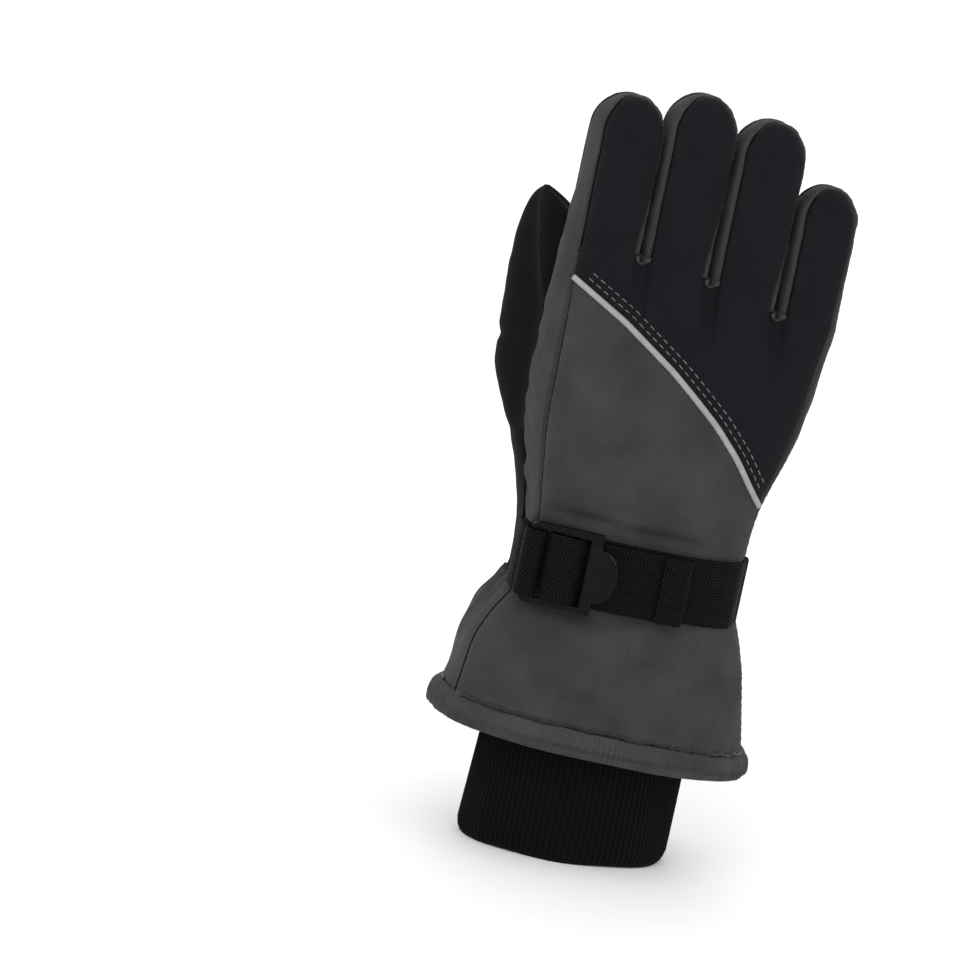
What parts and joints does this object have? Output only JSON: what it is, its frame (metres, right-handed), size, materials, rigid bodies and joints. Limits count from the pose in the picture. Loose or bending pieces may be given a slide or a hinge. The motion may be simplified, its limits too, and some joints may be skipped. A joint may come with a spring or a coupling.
{
  "type": "ski glove",
  "caption": "Right-hand insulated ski glove with boxed fingers, a gripping palm, a padded gauntlet over a rib-knit cuff, and a wrist strap with a ladder-lock buckle.",
  "frame": {"origin": "middle of the glove's footprint box, on the plane of the knit cuff's rim", "axes": "+Z from the cuff to the fingertips, back of the hand towards -Y, palm towards +Y, thumb on the -X side"},
  "size_m": [0.1222, 0.084, 0.2878],
  "materials": {
    "black_softshell": "matt woven softshell",
    "grey_softshell": "matt woven softshell",
    "palm_grip": "synthetic leather with a grip pattern of small pits",
    "reflective": "grey reflective piping",
    "rib_knit": "ribbed knit",
    "webbing": "woven nylon webbing",
    "hard_plastic": "moulded, fine texture",
    "fleece": "brushed fleece",
    "wadding": "fibre wadding",
    "rubber": "braided elastic"
  },
  "bodies": {
    "hand": {"back_lower_panel": "grey_softshell", "back_upper_panel": "black_softshell", "reflective_piping": "reflective", "side_strip_little_finger": "grey_softshell", "side_strip_thumb": "grey_softshell", "palm_panel": "palm_grip", "palm_saddle_patch": "black_softshell", "thumb_gusset": "black_softshell", "gauntlet_palm_panel": "grey_softshell", "cuff_hem": "grey_softshell", "gauntlet_lining": "fleece", "hand_lining": "fleece", "hand_insulation": "wadding", "wrist_elastic": "rubber", "knit_cuff": "rib_knit", "fourchette_index_middle": "grey_softshell", "fourchette_middle_ring": "grey_softshell", "fourchette_ring_little": "grey_softshell", "wrist_strap": "webbing", "buckle_tab": "webbing"},
    "index": {"index_back_panel": "black_softshell", "index_palm_panel": "palm_grip", "index_side_strip": "grey_softshell", "index_lining": "fleece"},
    "middle": {"middle_back_panel": "black_softshell", "middle_palm_panel": "palm_grip", "middle_side_strip": "grey_softshell", "middle_lining": "fleece"},
    "ring": {"ring_back_panel": "black_softshell", "ring_palm_panel": "palm_grip", "ring_side_strip": "grey_softshell", "ring_lining": "fleece"},
    "little": {"little_back_panel": "black_softshell", "little_palm_panel": "palm_grip", "little_side_strip": "grey_softshell", "little_lining": "fleece"},
    "thumb": {"thumb_back_panel": "black_softshell", "thumb_palm_panel": "black_softshell", "thumb_side_strip": "grey_softshell", "thumb_lining": "fleece"},
    "buckle": {"buckle": "hard_plastic", "strap_wrap": "webbing"},
    "strap_tail": {"strap_tail": "webbing"}
  },
  "joints": [
    {"name": "index_flex", "type": "hinge", "parent": "hand", "child": "index", "pos_m": [-0.03145, -0.00757, 0.234], "axis": [-1, 0, 0], "range_deg": [0, 70], "stiffness_Nm_per_rad": 0.04},
    {"name": "middle_flex", "type": "hinge", "parent": "hand", "child": "middle", "pos_m": [-0.00426, -0.00757, 0.2325], "axis": [-1, 0, 0], "range_deg": [0, 70], "stiffness_Nm_per_rad": 0.04},
    {"name": "ring_flex", "type": "hinge", "parent": "hand", "child": "ring", "pos_m": [0.02264, -0.00757, 0.228], "axis": [-1, 0, 0], "range_deg": [0, 70], "stiffness_Nm_per_rad": 0.04},
    {"name": "little_flex", "type": "hinge", "parent": "hand", "child": "little", "pos_m": [0.04815, -0.00757, 0.221], "axis": [-1, 0, 0], "range_deg": [0, 70], "stiffness_Nm_per_rad": 0.04},
    {"name": "thumb_flex", "type": "hinge", "parent": "hand", "child": "thumb", "pos_m": [-0.03936, 0.02193, 0.16], "axis": [-0.8598, 0.4897, -0.1445], "range_deg": [0, 35], "stiffness_Nm_per_rad": 0.04},
    {"name": "buckle_tilt", "type": "hinge", "parent": "hand", "child": "buckle", "pos_m": [-0.03886, -0.02887, 0.11], "axis": [0, 0, -1], "range_deg": [0, 35]},
    {"name": "strap_tail_slide", "type": "slide", "parent": "buckle", "child": "strap_tail", "axis": [1, 0, 0], "range_m": [-0.008, 0.02]}
  ]
}
